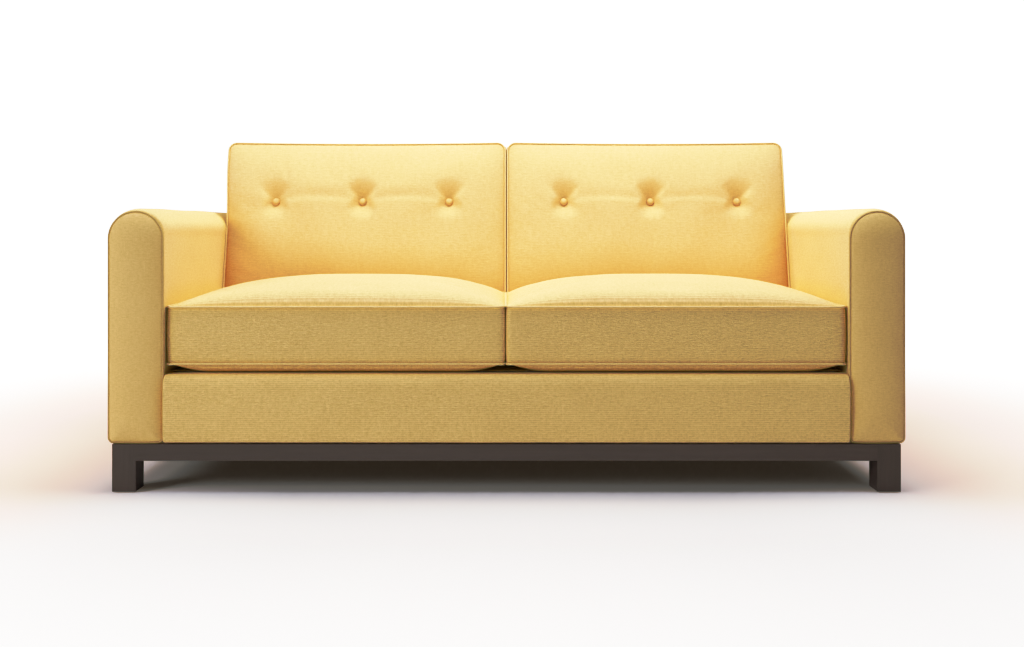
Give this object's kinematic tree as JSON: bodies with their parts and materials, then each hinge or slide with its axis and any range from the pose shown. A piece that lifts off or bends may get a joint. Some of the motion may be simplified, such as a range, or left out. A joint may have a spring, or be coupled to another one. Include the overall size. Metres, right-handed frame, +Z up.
{
  "type": "sofa",
  "caption": "Upholstered sofa with half-round arms, loose boxed seat cushions, leaning loose back cushions with tufted buttons, and a low dark wooden base on square legs.",
  "frame": {"origin": "on the floor, under the middle of the sofa's overall box", "axes": "+X to the right of someone facing the sofa, -Y towards that person (the front), +Z up"},
  "size_m": [1.836, 0.88, 0.851],
  "materials": {
    "cover_fabric": "golden linen-look plain weave, matt",
    "welt": "the same cloth on a bias-cut cord, matt",
    "base_wood": "dark espresso stain, satin",
    "frame_wood": "plain sawn hardwood",
    "foam": "open-cell foam and fibre, matt",
    "deck_cloth": "plain lining cloth, matt",
    "dust_cloth": "black non-woven cloth",
    "webbing": "elastic woven strap",
    "zip_tape": "woven zip tape and moulded teeth",
    "steel": "bright steel",
    "glide_plastic": "matt moulded plastic"
  },
  "bodies": {
    "sofa_frame": {"base_rail_front": "base_wood", "base_rail_rear": "base_wood", "base_rail_left": "base_wood", "base_rail_right": "base_wood", "base_stretcher": "base_wood", "leg_front_left": "base_wood", "leg_front_right": "base_wood", "leg_rear_left": "base_wood", "leg_rear_right": "base_wood", "glides": "glide_plastic", "base_screws": "steel", "frame_front_rail": "frame_wood", "frame_seat_rear_rail": "frame_wood", "frame_rear_rail": "frame_wood", "frame_centre_rail": "frame_wood", "frame_side_rail_left": "frame_wood", "frame_side_rail_right": "frame_wood", "arm_front_post_left": "frame_wood", "arm_front_post_right": "frame_wood", "arm_rear_post_left": "frame_wood", "arm_rear_post_right": "frame_wood", "arm_top_rail_left": "frame_wood", "arm_top_rail_right": "frame_wood", "back_post_left": "frame_wood", "back_post_centre": "frame_wood", "back_post_right": "frame_wood", "back_top_rail": "frame_wood", "corner_blocks": "frame_wood", "frame_dowels": "frame_wood", "seat_springs": "steel", "spring_clips": "steel", "back_webbing": "webbing", "deck_pad": "foam", "deck_cloth": "deck_cloth", "front_border_foam": "foam", "front_border_cover": "cover_fabric", "arm_foam_left": "foam", "arm_foam_right": "foam", "arm_cover_left": "cover_fabric", "arm_cover_right": "cover_fabric", "arm_panel_left": "cover_fabric", "arm_panel_right": "cover_fabric", "arm_welts": "welt", "back_cover": "cover_fabric", "dust_cover": "dust_cloth"},
    "seat_cushion_left": {"seat_cover_left": "cover_fabric", "seat_core_left": "foam", "seat_zip_left": "zip_tape"},
    "back_cushion_left": {"back_cushion_cover_left": "cover_fabric", "back_cushion_core_left": "foam", "back_cushion_tufting_left": "cover_fabric"},
    "zip_slider_left": {"seat_zip_slider_left": "steel"},
    "seat_cushion_right": {"seat_cover_right": "cover_fabric", "seat_core_right": "foam", "seat_zip_right": "zip_tape"},
    "back_cushion_right": {"back_cushion_cover_right": "cover_fabric", "back_cushion_core_right": "foam", "back_cushion_tufting_right": "cover_fabric"},
    "zip_slider_right": {"seat_zip_slider_right": "steel"}
  },
  "joints": [
    {"name": "seat_cushion_left_lift", "type": "slide", "parent": "sofa_frame", "child": "seat_cushion_left", "axis": [0, 0, 1], "range_m": [0, 0.42]},
    {"name": "back_cushion_left_lift", "type": "slide", "parent": "sofa_frame", "child": "back_cushion_left", "axis": [0, 0.225, 0.9744], "range_m": [0, 0.56]},
    {"name": "seat_zip_left_slide", "type": "slide", "parent": "seat_cushion_left", "child": "zip_slider_left", "axis": [-1, 0, 0], "range_m": [0, 0.59]},
    {"name": "seat_cushion_right_lift", "type": "slide", "parent": "sofa_frame", "child": "seat_cushion_right", "axis": [0, 0, 1], "range_m": [0, 0.42]},
    {"name": "back_cushion_right_lift", "type": "slide", "parent": "sofa_frame", "child": "back_cushion_right", "axis": [0, 0.225, 0.9744], "range_m": [0, 0.56]},
    {"name": "seat_zip_right_slide", "type": "slide", "parent": "seat_cushion_right", "child": "zip_slider_right", "axis": [1, 0, 0], "range_m": [0, 0.59]}
  ]
}
